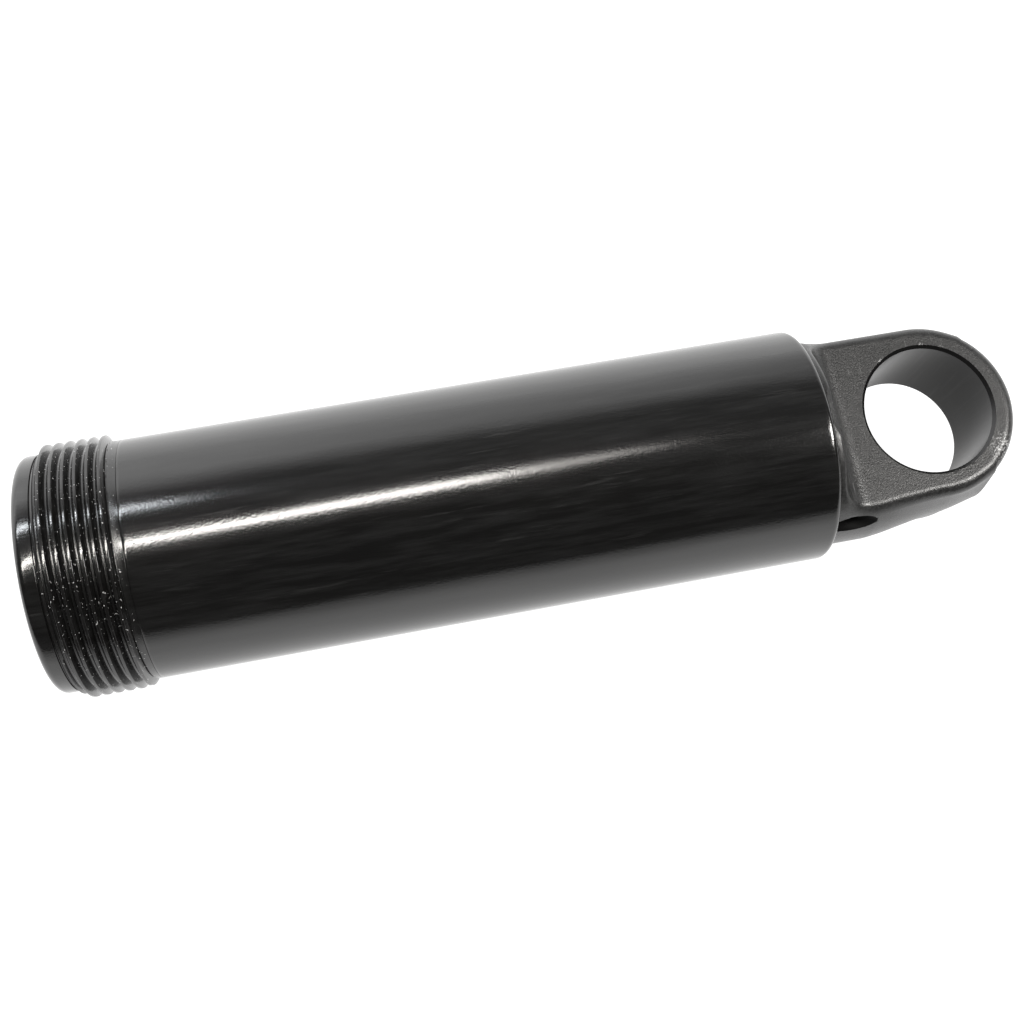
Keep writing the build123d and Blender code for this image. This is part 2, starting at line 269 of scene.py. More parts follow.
def ring_points(x, radius):
    """Points of rows round the X axis; column 0 is at +Z and the columns turn against the clock."""
    angle = 2 * math.pi * np.arange(COLUMNS) / COLUMNS
    x, radius, angle = np.broadcast_arrays(x, radius, angle)
    return np.stack([x, -radius * np.sin(angle), radius * np.cos(angle)], axis=-1)


def clean_faces(quads):
    """Faces as lists, without the corners that fell together."""
    faces = []
    for quad in quads.tolist():
        face = [corner for place, corner in enumerate(quad) if corner != quad[place - 1]]
        if len(set(face)) == len(face) and len(face) > 2:
            faces.append(face)
    return faces


def joined_quads(rings):
    """Quads between rows of point numbers."""
    corners = [rings[:-1, :-1], rings[1:, :-1], rings[1:, 1:], rings[:-1, 1:]]
    return np.stack(corners, axis=-1).reshape(-1, 4)


def tube_mesh():
    """Closed mesh of the case tube: helical rows over the thread, plain rings elsewhere."""
    x, radius, rows_per_turn = thread_grid(THREAD_START_X, THREAD_ZONE_END_X)
    row_count = len(x)
    points = [ring_points(x, radius).reshape(-1, 3)]
    index = np.arange(row_count * COLUMNS).reshape(row_count, COLUMNS)
    columns = np.arange(COLUMNS)
    start_row = np.argmax(x > THREAD_START_X, axis=0) - 1
    end_row = np.argmax(x >= THREAD_ZONE_END_X, axis=0)
    start_ring = index[start_row, columns]
    end_ring = index[end_row, columns]
    index = np.where(x <= THREAD_START_X, start_ring[None, :], index)
    index = np.where(x >= THREAD_ZONE_END_X, end_ring[None, :], index)
    beyond = np.repeat(end_ring[:1][None, :], rows_per_turn, axis=0)
    wrapped = np.vstack([index[rows_per_turn:, :1], beyond])
    faces = clean_faces(joined_quads(np.hstack([index, wrapped])))

    def add_rings(path, first_ring, last_ring):
        """Plain rings along a path of (x, radius), joined to rings that are already there."""
        offset = sum(len(block) for block in points)
        points.append(ring_points(path[:, :1], path[:, 1:]).reshape(-1, 3))
        rings = np.arange(offset, offset + len(path) * COLUMNS).reshape(len(path), COLUMNS)
        rings = np.vstack([first_ring[None, :], rings, last_ring[None, :]])
        rings = np.hstack([rings, rings[:, :1]])
        faces.extend(joined_quads(rings).tolist())

    add_rings(tube_outline(), end_ring, start_ring)
    used = sorted({corner for face in faces for corner in face})
    place = {corner: number for number, corner in enumerate(used)}
    faces = [[place[corner] for corner in reversed(face)] for face in faces]
    return np.vstack(points)[used], faces


def tube_outline():
    """(x, radius) along the tube's outside, rim, inside, mouth and lip, back to the thread."""
    line_radii = (BAND_R, BAND_R - LINE_DEPTH, BAND_R, TUBE_R)
    outside = [(LINE_X + step, radius) for step, radius in zip(LINE_STEPS, line_radii)]
    long_run = np.linspace(LINE_X + 0.4, RIM_X - RIM_ROUND - 0.3, LONG_RINGS)
    outside += [(float(x), TUBE_R) for x in long_run]
    corners = [
        outside[-1],
        (RIM_X, TUBE_R),
        (RIM_X, SOCKET_R),
        (RIM_X - SOCKET_DEPTH, SOCKET_R),
        (RIM_X - SOCKET_DEPTH, JOINT_R),
        (JOINT_END_X, JOINT_R),
        (JOINT_END_X, TUBE_BORE_R),
        (OPEN_END_X + LEAD_IN, TUBE_BORE_R),
        (OPEN_END_X, TUBE_BORE_R + LEAD_IN),
        (OPEN_END_X, LIP_R),
        (LIP_END_X, LIP_R),
        (LIP_END_X + RELIEF_WALL, RELIEF_R),
        (THREAD_START_X - 0.01, RELIEF_R),
    ]
    inner_radii = [RIM_ROUND, EDGE_BREAK, 0, 0, 0]
    mouth_radii = [FINE_BREAK, FINE_BREAK, FINE_BREAK, LIP_ROUND, EDGE_BREAK, 0.05]
    end = rounded_path(corners, inner_radii + mouth_radii, steps=8)
    return np.vstack([np.array(outside[:-1]), end])


# ---------------------------------------------------------------- eyelet end, as a distance field
def round_union(a, b, radius):
    """Union of two fields with a concave fillet where they meet."""
    gap_a = np.maximum(radius - a, 0)
    gap_b = np.maximum(radius - b, 0)
    return np.maximum(radius, np.minimum(a, b)) - np.hypot(gap_a, gap_b)


def round_common(a, b, radius):
    """What two fields share, with the edge between them rounded."""
    gap_a = np.maximum(radius + a, 0)
    gap_b = np.maximum(radius + b, 0)
    return np.minimum(-radius, np.maximum(a, b)) + np.hypot(gap_a, gap_b)


def bar_field(x, r, x_from, x_to, radius):
    """Distance to a round bar along X."""
    return np.maximum(r - radius, np.abs(x - (x_from + x_to) / 2) - (x_to - x_from) / 2)


def arm_field(x, y, z, r):
    """The neck, its port boss, the arm and the ring, before anything is bored."""
    plan = np.where(x > 0, np.hypot(x, y), np.abs(y)) - EYE_R
    taper = np.maximum(x - BOSS_CONE_X, 0) * BOSS_TAPER
    boss = (r - NECK_R + taper) / math.hypot(1, BOSS_TAPER)
    boss = np.maximum(boss, x - (BOSS_CONE_X + (NECK_R - EYE_R + BOSS_OVERLAP) / BOSS_TAPER))
    flank = round_union(y - EYE_R + EYE_EDGE_R, x - FLANK_SHOULDER_X, FLANK_FILLET_R)
    outline = round_union(np.maximum(boss, flank), plan, BOSS_BLEND_R)
    faces = round_union(np.abs(z) - EYE_HALF_WIDTH, x - FACE_SHOULDER_X, FACE_FILLET_R)
    arm = round_common(outline, faces, EYE_EDGE_R)
    arm = round_common(arm, r - NECK_R, NECK_EDGE_R)
    return np.maximum(arm, SEAT_X - x)


def port_frame_vectors():
    """Mouth centre and outward axis of the slanted gas port."""
    outward = np.array([0, math.sin(PORT_ANGLE), math.cos(PORT_ANGLE)])
    axis = np.array([math.cos(PORT_SLANT), 0, 0]) + outward * math.sin(PORT_SLANT)
    mouth = np.array([PORT_X, 0, 0]) + outward * NECK_R
    return mouth, axis


def port_field(points):
    """The drilled port: a wide hole down to the screw's seat, then a narrow one."""
    mouth, axis = port_frame_vectors()
    relative = points - mouth
    depth = -(relative @ axis)
    across = np.linalg.norm(relative + depth[..., None] * axis, axis=-1)
    wide = np.maximum(across - PORT_R, depth - PORT_SEAT_DEPTH)
    narrow = np.maximum(across - PORT_SEAT_R, depth - PORT_END)
    return np.minimum(wide, narrow)


def eyelet_field(points):
    """Signed distance, in millimetres, to the whole eyelet end."""
    x, y, z = points[..., 0], points[..., 1], points[..., 2]
    r = np.hypot(y, z)
    body = arm_field(x, y, z, r)
    body = np.minimum(body, bar_field(x, r, JOINT_END_X + CLEARANCE, SEAT_X + 2 * OVERLAP, JOINT_R))
    body = np.minimum(body, bar_field(x, r, SPIGOT_END_X, JOINT_END_X + OVERLAP, GROOVE_R))
    body = np.minimum(body, bar_field(x, r, SPIGOT_END_X, GROOVE_X[0], SPIGOT_R))
    body = np.minimum(body, bar_field(x, r, GROOVE_X[1], JOINT_END_X + OVERLAP, SPIGOT_R))
    bore_r = np.hypot(x, y)
    bore = bore_r - EYE_BORE_R
    chamfer = (bore_r - EYE_BORE_R - np.abs(z) + EYE_HALF_WIDTH - EYE_CHAMFER) / math.sqrt(2)
    recess = np.maximum(r - GAS_RECESS_R, x - GAS_RECESS_X)
    holes = np.minimum(np.minimum(bore, chamfer), np.minimum(recess, port_field(points)))
    return np.maximum(body, -holes)


def field_slope(field, points, reach=0.01):
    """Gradient of a field at points."""
    slope = np.empty_like(points)
    for axis in range(3):
        shift = np.zeros(3)
        shift[axis] = reach
        slope[:, axis] = (field(points + shift) - field(points - shift)) / (2 * reach)
    return slope


CELL_CORNERS = np.array([[i, j, k] for i in (0, 1) for j in (0, 1) for k in (0, 1)])
CELL_EDGES = [
    (a, b)
    for a in range(8)
    for b in range(a + 1, 8)
    if np.abs(CELL_CORNERS[a] - CELL_CORNERS[b]).sum() == 1
]


def crossing_points(field, start, end, start_value, end_value):
    """Where the field is zero on short lines, by repeated linear interpolation."""
    low, high = start.copy(), end.copy()
    low_value, high_value = start_value.copy(), end_value.copy()
    for _ in range(3):
        share = np.clip(low_value / (low_value - high_value), 0.02, 0.98)
        middle = low + (high - low) * share[:, None]
        value = field(middle)
        same = np.sign(value) == np.sign(low_value)
        low = np.where(same[:, None], middle, low)
        low_value = np.where(same, value, low_value)
        high = np.where(same[:, None], high, middle)
        high_value = np.where(same, high_value, value)
    share = low_value / (low_value - high_value)
    return low + (high - low) * share[:, None]


def contour_mesh(field, low, high, step):
    """Mesh of a field's zero surface with its edges kept sharp.

    Each cell that the surface crosses gets one point, where the surface's tangent planes in it meet.
    """
    axes = [np.arange(low[i], high[i] + step, step) for i in range(3)]
    shape = tuple(len(axis) for axis in axes)
    values = np.empty(shape, np.float32)
    plane = np.stack(np.meshgrid(axes[1], axes[2], indexing="ij"), axis=-1)
    for i, x in enumerate(axes[0]):
        values[i] = field(np.concatenate([np.full(plane.shape[:2] + (1,), x), plane], axis=-1))
    inside = values < 0
    cells = tuple(n - 1 for n in shape)
    total = np.zeros(cells, np.uint8)
    for corner in CELL_CORNERS:
        part = inside[tuple(slice(c, c + n) for c, n in zip(corner, cells))]
        total += part
    active = np.argwhere((total > 0) & (total < 8))
    number = np.full(cells, -1, np.int64)
    number[tuple(active.T)] = np.arange(len(active))

    origin = np.array(low, float)
    matrix = np.zeros((len(active), 3, 3))
    target = np.zeros((len(active), 3))
    centre = np.zeros((len(active), 3))
    count = np.zeros(len(active))
    crossings = []
    for a, b in CELL_EDGES:
        ia, ib = active + CELL_CORNERS[a], active + CELL_CORNERS[b]
        va, vb = values[tuple(ia.T)].astype(float), values[tuple(ib.T)].astype(float)
        hit = np.nonzero((va < 0) != (vb < 0))[0]
        start, end = origin + ia[hit] * step, origin + ib[hit] * step
        place = crossing_points(field, start, end, va[hit], vb[hit])
        normal = field_slope(field, place)
        normal /= np.linalg.norm(normal, axis=1, keepdims=True)
        crossings.append((hit, place, normal))
        np.add.at(centre, hit, place)
        np.add.at(count, hit, 1)
    centre /= count[:, None]
    for hit, place, normal in crossings:
        np.add.at(matrix, hit, normal[:, :, None] * normal[:, None, :])
        offset = np.einsum("ij,ij->i", normal, place - centre[hit])
        np.add.at(target, hit, normal * offset[:, None])
    strength, direction = np.linalg.eigh(matrix)
    keep = strength > FLAT_LIMIT * strength[:, -1:]
    inverse = np.where(keep, 1 / np.maximum(strength, 1e-9), 0)
    along = np.einsum("nij,ni->nj", direction, target) * inverse
    vertices = centre + np.einsum("nij,nj->ni", direction, along)
    corner = origin + active * step
    vertices = np.clip(vertices, corner - CELL_SLACK * step, corner + (1 + CELL_SLACK) * step)

    quads = []
    for axis in range(3):
        u, v = (axis + 1) % 3, (axis + 2) % 3
        front = [slice(None)] * 3
        back = [slice(None)] * 3
        front[axis], back[axis] = slice(1, None), slice(None, -1)
        change = inside[tuple(back)] != inside[tuple(front)]
        edges = np.argwhere(change)
        inner = (edges[:, u] > 0) & (edges[:, v] > 0)
        inner &= (edges[:, u] < cells[u]) & (edges[:, v] < cells[v])
        edges = edges[inner]
        corners = []
        for du, dv in ((1, 1), (0, 1), (0, 0), (1, 0)):
            cell = edges.copy()
            cell[:, u] -= du
            cell[:, v] -= dv
            corners.append(number[tuple(cell.T)])
        quad = np.stack(corners, axis=1)
        leaving = inside[tuple(edges.T)]
        quads.append(np.where(leaving[:, None], quad, quad[:, ::-1]))
    return vertices, np.vstack(quads)


# ---------------------------------------------------------------- node helpers
class Nodes:
    """Short way to write a node tree."""

    def __init__(self, tree):
        self.tree = tree
        tree.nodes.clear()

    def add(self, kind, values=None, **settings):
        node = self.tree.nodes.new(kind)
        for name, value in settings.items():
            setattr(node, name, value)
        for name, value in (values or {}).items():
            if isinstance(value, bpy.types.NodeSocket):
                self.tree.links.new(value, node.inputs[name])
            else:
                node.inputs[name].default_value = value
        return node

    def math(self, operation, a, b=0.0, clamp=False):
        node = self.add("ShaderNodeMath", {0: a, 1: b}, operation=operation, use_clamp=clamp)
        return node.outputs[0]

    def stretch(self, position, scale):
        node = self.add("ShaderNodeVectorMath", {0: position, 1: scale}, operation="MULTIPLY")
        return node.outputs[0]

    def noise(self, position, scale, detail=2.0, roughness=0.5):
        values = {"Vector": position, "Scale": scale, "Detail": detail, "Roughness": roughness}
        return self.add("ShaderNodeTexNoise", values).outputs["Fac"]

    def between(self, value, low, high, to_low, to_high):
        values = {"Value": value, "From Min": low, "From Max": high}
        values.update({"To Min": to_low, "To Max": to_high})
        return self.add("ShaderNodeMapRange", values, clamp=True).outputs["Result"]

    def mix(self, share, a, b):
        node = self.add("ShaderNodeMix", data_type="RGBA")
        sockets = [node.inputs[0], node.inputs[6], node.inputs[7]]
        for socket, value in zip(sockets, (share, a, b)):
            if isinstance(value, bpy.types.NodeSocket):
                self.tree.links.new(value, socket)
            else:
                socket.default_value = value
        return node.outputs[2]

    def bump(self, height, distance, strength=1.0, normal=None):
        values = {"Height": height, "Distance": distance, "Strength": strength}
        if normal is not None:
            values["Normal"] = normal
        return self.add("ShaderNodeBump", values).outputs["Normal"]


def new_material(name):
    material = bpy.data.materials.new(name)
    material.use_nodes = True
    nodes = Nodes(material.node_tree)
    position = nodes.add("ShaderNodeTexCoord").outputs["Object"]
    return material, nodes, position


def finish_material(nodes, values):
    shader = nodes.add("ShaderNodeBsdfPrincipled", values)
    nodes.add("ShaderNodeOutputMaterial", {"Surface": shader.outputs["BSDF"]})


def grey(value):
    return (value, value, value, 1.0)


# ---------------------------------------------------------------- materials
def tube_material():
    """Gloss black anodising over fine turning, with pits, rubbed lines, and pale specks in the thread
    that are painted glints.
    """
    material, nodes, position = new_material("tube_black")
    parts = nodes.add("ShaderNodeSeparateXYZ", {"Vector": position}).outputs
    around = nodes.stretch(position, (0, 1, 1))
    height = nodes.add("ShaderNodeVectorMath", {0: around}, operation="LENGTH").outputs["Value"]
    rings = nodes.noise(nodes.stretch(position, (1, 0.02, 0.02)), 9000, detail=3)
    fine = nodes.noise(nodes.stretch(position, (1, 0.35, 0.35)), 6500, detail=2)
    broad = nodes.noise(position, 60, detail=3)
    rub = nodes.noise(nodes.stretch(position, (0.06, 1, 1)), 1500, detail=4, roughness=0.7)
    rub_share = nodes.between(rub, 0.60, 0.78, 0, 1)
    glint_noise = nodes.noise(position, 3600, detail=1)
    painted_glint_share = nodes.between(glint_noise, 0.715, 0.735, 0, 1)
    pits = nodes.noise(position, 4200, detail=2)
    drawn = nodes.noise(nodes.stretch(position, (0.10, 1, 1)), 1000, detail=5, roughness=0.65)

    def past(value, place, ramp):
        """Rises from 0 to 1 over a short ramp from a place in millimetres."""
        return nodes.between(value, place * MM, (place + ramp) * MM, 0, 1)

    before_band = nodes.math("SUBTRACT", 1.0, past(parts["X"], THREAD_ZONE_END_X - 0.5, 0.5))
    on_thread = nodes.math("MULTIPLY", before_band, past(parts["X"], THREAD_START_X, 0.1))
    on_thread = nodes.math("MULTIPLY", on_thread, past(height, TUBE_BORE_R + 0.6, 0.1))
    crest_rise = THREAD_MAJOR_R - TUBE_R - 0.09
    below_crest = nodes.math("SUBTRACT", 1.0, past(height, TUBE_R + 0.05, crest_rise))
    in_root = nodes.math("MULTIPLY", on_thread, below_crest)
    torn = nodes.noise(nodes.stretch(position, (1, 0.25, 0.25)), 9500, detail=2)

    tint = nodes.mix(broad, (0.0026, 0.0026, 0.0027, 1), (0.0044, 0.0042, 0.0039, 1))
    tint = nodes.mix(nodes.between(drawn, 0.42, 0.66, 0, 0.8), tint, grey(0.010))
    tint = nodes.mix(nodes.math("MULTIPLY", rub_share, 0.6), tint, grey(0.030))
    # painted highlight: pale grey specks on the thread's outside stand in for tiny glints
    tint = nodes.mix(nodes.math("MULTIPLY", painted_glint_share, on_thread), tint, grey(0.45))
    roughness = nodes.between(broad, 0.3, 0.7, 0.115, 0.145)
    roughness = nodes.math("ADD", roughness, nodes.math("MULTIPLY", rub_share, 0.06))
    roughness = nodes.math("ADD", roughness, nodes.math("MULTIPLY", in_root, 0.10))
    normal = nodes.bump(rings, 0.6 * MICRON)
    normal = nodes.bump(fine, 1.2 * MICRON, normal=normal)
    normal = nodes.bump(pits, 9 * MICRON, normal=normal)
    normal = nodes.bump(nodes.math("MULTIPLY", torn, in_root), 10 * MICRON, normal=normal)
    tangent = nodes.add("ShaderNodeTangent", direction_type="RADIAL", axis="X").outputs["Tangent"]
    values = {"Base Color": tint, "Roughness": roughness, "IOR": 1.62, "Normal": normal}
    finish_material(nodes, {**values, "Anisotropic": 0.35, "Tangent": tangent})
    return material


def eyelet_material():
    """Matt black anodising over a blasted surface, mottled, and rubbed bare in one spot."""
    material, nodes, position = new_material("eyelet_black")
    grain = nodes.noise(position, 5200, detail=3, roughness=0.6)
    cloud = nodes.noise(position, 420, detail=4)
    mottle = nodes.noise(position, 1700, detail=3, roughness=0.6)
    rub = nodes.noise(nodes.stretch(position, (0.5, 1, 1)), 1100, detail=5, roughness=0.65)
    scratch = nodes.noise(nodes.stretch(position, (1.0, 0.08, 1.0)), 2600, detail=1)
    scratch_share = nodes.between(scratch, 0.74, 0.76, 0, 1)
    bare = nodes.noise(position, 3800, detail=2)
    edge = nodes.add("ShaderNodeNewGeometry").outputs["Pointiness"]
    on_edge = nodes.between(edge, 0.53, 0.60, 0, 1)
    worn = nodes.math("MULTIPLY", on_edge, nodes.between(bare, 0.54, 0.68, 0, 1))
    spot = nodes.add("ShaderNodeVectorMath", {0: position, 1: WORN_SPOT}, operation="DISTANCE")
    near_spot = nodes.between(spot.outputs["Value"], 0.6 * MM, 2.2 * MM, 1, 0)
    near_spot = nodes.math("MULTIPLY", near_spot, nodes.between(bare, 0.50, 0.62, 0, 1))
    tint = nodes.mix(nodes.between(cloud, 0.35, 0.65, 0, 1), grey(0.007), grey(0.012))
    tint = nodes.mix(nodes.between(mottle, 0.40, 0.75, 0, 0.6), tint, grey(0.022))
    tint = nodes.mix(nodes.between(grain, 0.46, 0.64, 0, 0.7), tint, grey(0.032))
    tint = nodes.mix(nodes.between(rub, 0.5, 0.75, 0, 0.6), tint, grey(0.030))
    tint = nodes.mix(nodes.math("MULTIPLY", scratch_share, 0.5), tint, grey(0.10))
    tint = nodes.mix(nodes.math("MULTIPLY", worn, 0.6), tint, grey(0.16))
    tint = nodes.mix(near_spot, tint, grey(0.34))
    roughness = nodes.between(grain, 0.3, 0.7, 0.27, 0.37)
    normal = nodes.bump(grain, 30 * MICRON)
    normal = nodes.bump(mottle, 8 * MICRON, normal=normal)
    values = {"Base Color": tint, "Roughness": roughness, "IOR": 1.52, "Normal": normal}
    finish_material(nodes, values)
    return material


def cut_and_port_shade_material():
    """Cut faces, near black: the bore's glossy chamfers, and the duller gas port, whose near black is
    painted shade of the deep hole.
    """
    material, nodes, position = new_material("eyelet_cut_black")
    cloud = nodes.noise(position, 500, detail=3)
    lines = nodes.noise(nodes.stretch(position, (0.3, 0.3, 1)), 8000, detail=2)
    # near black: the chamfers' own colour, and painted shade on the port's walls
    tint = nodes.mix(cloud, grey(0.003), grey(0.006))
    along = nodes.add("ShaderNodeSeparateXYZ", {"Vector": position}).outputs["X"]
    port_end, chamfer_start = CUT_GLOSS_X * MM, (CUT_GLOSS_X + 0.1) * MM
    roughness = nodes.between(along, port_end, chamfer_start, 0.62, 0.27)
    index = nodes.between(along, port_end, chamfer_start, 1.15, 1.5)
    normal = nodes.bump(lines, 1 * MICRON)
    values = {"Base Color": tint, "Roughness": roughness, "IOR": index, "Normal": normal}
    finish_material(nodes, values)
    return material


def bore_material():
    """Black anodised bore, reamed smooth."""
    material, nodes, position = new_material("eyelet_bore_black")
    lines = nodes.noise(nodes.stretch(position, (0.05, 0.05, 1)), 7000, detail=2)
    cloud = nodes.noise(position, 300, detail=3)
    drag = nodes.noise(nodes.stretch(position, (1, 1, 0.05)), 1800, detail=3)
    tint = nodes.mix(cloud, grey(0.011), grey(0.017))
    tint = nodes.mix(nodes.between(drag, 0.55, 0.8, 0, 0.5), tint, grey(0.05))
    normal = nodes.bump(lines, 1.5 * MICRON)
    finish_material(nodes, {"Base Color": tint, "Roughness": 0.28, "IOR": 1.45, "Normal": normal})
    return material


def rubber_material():
    """Black nitrile rubber with a faint bloom and moulding grain."""
    material, nodes, position = new_material("seal_rubber")
    grain = nodes.noise(position, 6000, detail=3)
    bloom = nodes.noise(position, 700, detail=4)
    tint = nodes.mix(nodes.between(bloom, 0.4, 0.7, 0, 1), grey(0.016), grey(0.034))
    roughness = nodes.between(bloom, 0.3, 0.7, 0.34, 0.52)
    values = {"Base Color": tint, "Roughness": roughness, "IOR": 1.5}
    finish_material(nodes, {**values, "Normal": nodes.bump(grain, 6 * MICRON)})
    return material


def backup_material():
    """White skived plastic, a little waxy, with cutting lines round it."""
    material, nodes, position = new_material("backup_plastic")
    lines = nodes.noise(nodes.stretch(position, (1, 0.03, 0.03)), 8000, detail=2)
    cloud = nodes.noise(position, 500, detail=3)
    tint = nodes.mix(cloud, (0.72, 0.70, 0.65, 1), (0.82, 0.81, 0.78, 1))
    values = {"Base Color": tint, "Roughness": 0.42, "IOR": 1.38}
    values["Normal"] = nodes.bump(lines, 4 * MICRON)
    finish_material(nodes, {**values, "Subsurface Weight": 0.15, "Subsurface Scale": 0.6 * MM})
    return material


def band_material():
    """Bronze-filled guide band: dull brown plastic with metal grains and sliding marks."""
    material, nodes, position = new_material("band_plastic")
    grains = nodes.noise(position, 9000, detail=2)
    grain_share = nodes.between(grains, 0.60, 0.68, 0, 1)
    marks = nodes.noise(nodes.stretch(position, (0.05, 1, 1)), 5000, detail=3)
    tint = nodes.mix(marks, (0.105, 0.055, 0.028, 1), (0.165, 0.090, 0.045, 1))
    tint = nodes.mix(nodes.math("MULTIPLY", grain_share, 0.6), tint, (0.42, 0.27, 0.12, 1))
    metal = nodes.math("MULTIPLY", grain_share, 0.6)
    roughness = nodes.between(marks, 0.3, 0.7, 0.38, 0.55)
    values = {"Base Color": tint, "Metallic": metal, "Roughness": roughness, "IOR": 1.45}
    finish_material(nodes, {**values, "Normal": nodes.bump(marks, 4 * MICRON)})
    return material


def screw_material():
    """Dark oiled steel, turned, with brighter rubbed spots."""
    material, nodes, position = new_material("screw_steel")
    turned = nodes.noise(nodes.stretch(position, (1, 0.1, 0.1)), 12000, detail=2)
    rub = nodes.noise(position, 1500, detail=4)
    rubbed = nodes.between(rub, 0.45, 0.7, 0, 1)
    tint = nodes.mix(rubbed, (0.16, 0.155, 0.15, 1), (0.42, 0.41, 0.40, 1))
    roughness = nodes.between(rub, 0.3, 0.7, 0.40, 0.26)
    values = {"Base Color": tint, "Metallic": 1.0, "Roughness": roughness}
    finish_material(nodes, {**values, "Normal": nodes.bump(turned, 3 * MICRON)})
    return material


def piston_material():
    """Turned aluminium: feed marks and fine rings, and a thin film of oil that mottles the gloss."""
    material, nodes, position = new_material("piston_aluminium")
    around = nodes.stretch(position, (0, 1, 1))
    height = nodes.add("ShaderNodeVectorMath", {0: around}, operation="LENGTH").outputs["Value"]
    lathe = nodes.add("ShaderNodeCombineXYZ", {"X": height, "Y": 0.0, "Z": 0.0}).outputs["Vector"]
    face_rings = nodes.noise(lathe, 14000, detail=2)
    side_rings = nodes.noise(nodes.stretch(position, (1, 0.02, 0.02)), 9000, detail=2)
    film = nodes.noise(position, 350, detail=4)
    tint = nodes.mix(film, (0.46, 0.46, 0.47, 1), (0.62, 0.62, 0.615, 1))
    feed_marks = nodes.noise(lathe, 5000, detail=3)
    tint = nodes.mix(nodes.between(feed_marks, 0.40, 0.62, 0, 0.7), tint, (0.30, 0.30, 0.305, 1))
    roughness = nodes.between(film, 0.3, 0.7, 0.24, 0.36)
    normal = nodes.bump(face_rings, 3 * MICRON)
    normal = nodes.bump(side_rings, 2 * MICRON, normal=normal)
    values = {"Base Color": tint, "Metallic": 1.0, "Roughness": roughness, "Normal": normal}
    finish_material(nodes, values)
    return material


# ---------------------------------------------------------------- pieces
tube_points, tube_faces = tube_mesh()
tube = make_object("case_tube_skin", tube_points, tube_faces, TUBE_SHARP_ANGLE, [tube_material()])
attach(tube, "case")
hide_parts("case_tube")

reach = NECK_R + NET_MARGIN
eyelet_low = (SPIGOT_END_X - NET_MARGIN, -reach, -reach)
eyelet_high = (CROWN_X + NET_MARGIN, reach, reach)
eyelet_points, eyelet_quads = contour_mesh(eyelet_field, eyelet_low, eyelet_high, NET_STEP)
face_centres = eyelet_points[eyelet_quads].mean(axis=1)
centre_r = np.hypot(face_centres[:, 0], face_centres[:, 1])
depth = EYE_HALF_WIDTH - np.abs(face_centres[:, 2])
in_bore = (centre_r < EYE_BORE_R + FACE_NEAR) & (depth > EYE_CHAMFER)
on_cut_or_shaded_port = (centre_r < EYE_BORE_R + EYE_CHAMFER - FACE_INSET) & (depth > FACE_DEPTH) & ~in_bore
# painted shade: the gas port's walls take the near-black cut finish because the hole is deep
on_cut_or_shaded_port |= np.abs(port_field(face_centres)) < FACE_NEAR
finish = np.where(on_cut_or_shaded_port, 2, np.where(in_bore, 1, 0))
eyelet_looks = [eyelet_material(), bore_material(), cut_and_port_shade_material()]
eyelet_faces = eyelet_quads.tolist()
eyelet = make_object(
    "eyelet_end_skin", eyelet_points, eyelet_faces, EYELET_SHARP_ANGLE, eyelet_looks, finish
)
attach(eyelet, "case")
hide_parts("eyelet_end")


def paint(material, *names):
    """Gives CAD nodes a material in every slot they have."""
    for name in names:
        node = frame["nodes"][name]
        if not node.material_slots:
            node.data.materials.append(material)
        for slot in node.material_slots:
            slot.material = material


paint(rubber_material(), "spigot_o_ring", "port_pellet", "piston_o_ring", "bleed_o_ring")
paint(backup_material(), "spigot_backup_ring")
paint(band_material(), "oil_side_wear_band", "gas_side_wear_band")
paint(screw_material(), "port_screw", "bleed_screw")
paint(piston_material(), "floating_piston")

# ---------------------------------------------------------------- floor, light and camera
FLOOR_Z = cad_box[0].z
FLOOR_GAP = 0.0001
FLOOR_HALF = 2.5

WARM = (1.0, 0.97, 0.92)
WARM_FAR = (1.0, 0.98, 0.95)
COOL = (0.92, 0.96, 1.0)
# name, place in metres, turn in degrees, length, width, radiance, colour
STRIP_LIGHTS = [
    ("strip_overhead", (-0.36, 0.005, 1.2), 15, 0.90, 0.095, 38, WARM),
    ("strip_end", (0.15, 0.135, 1.2), 15, 0.13, 0.085, 10, WARM),
    ("strip_beyond", (0.95, -0.15, 1.2), 15, 0.80, 0.34, 40, WARM_FAR),
    ("strip_side", (-0.78, 0.80, 1.2), 0, 1.0, 0.12, 23, COOL),
]
BACKDROP_EDGE = 0.05            # how high the backdrop reaches at Y = 0, as a share of the way up
BACKDROP_RISE = 0.65            # and how much higher it reaches towards +Y
BACKDROP_LEVEL = 1.6

CAMERA_LENS = 49.4
CAMERA_SENSOR = 36.0
CAMERA_PLACE = (-0.06741, -0.04083, 0.15688)
CAMERA_RIGHT = (0.9790, -0.1929, 0.0654)
CAMERA_FORWARD = (0.1115, 0.2386, -0.9647)


